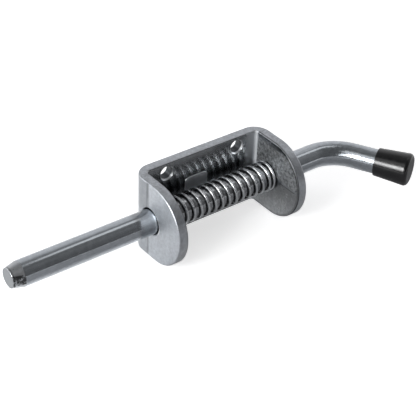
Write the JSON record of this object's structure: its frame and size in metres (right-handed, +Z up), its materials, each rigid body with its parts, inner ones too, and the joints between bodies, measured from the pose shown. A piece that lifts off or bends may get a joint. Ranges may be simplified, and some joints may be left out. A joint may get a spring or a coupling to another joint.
{
  "type": "spring bolt",
  "caption": "Sprung steel bolt in a U-shaped screw-on bracket, with a bent handle and moulded grip cap that draws back against a coil spring.",
  "frame": {"origin": "middle of the bracket's mounting face, level with the bolt's axis", "axes": "+X along the bolt from its tip towards its handle, +Y out of the mounting face into the surface that carries it, +Z up"},
  "size_m": [0.2733, 0.0716, 0.052],
  "materials": {
    "bracket_steel": "satin, slightly mottled from forming and tumbling",
    "rod_steel": "bright drawn bar",
    "pin_steel": "plain rolled spring steel",
    "washer_steel": "punched, tumbled",
    "spring_steel": "drawn spring wire",
    "cap_plastic": "dipped or moulded soft black plastic"
  },
  "bodies": {
    "bracket_body": {"bracket": "bracket_steel", "spring": "spring_steel"},
    "washer_body": {"washer": "washer_steel"},
    "bolt_body": {"bolt": "rod_steel", "stop_pin": "pin_steel", "end_cap": "cap_plastic"}
  },
  "joints": [
    {"name": "bolt_slide", "type": "slide", "parent": "bracket_body", "child": "washer_body", "axis": [1, 0, 0], "range_m": [0, 0.04], "stiffness_N_per_m": 1300, "springref_m": -0.015, "deforming": ["spring"]},
    {"name": "bolt_turn", "type": "hinge", "parent": "washer_body", "child": "bolt_body", "pos_m": [0, -0.0198, 0], "axis": [1, 0, 0], "continuous": true}
  ]
}
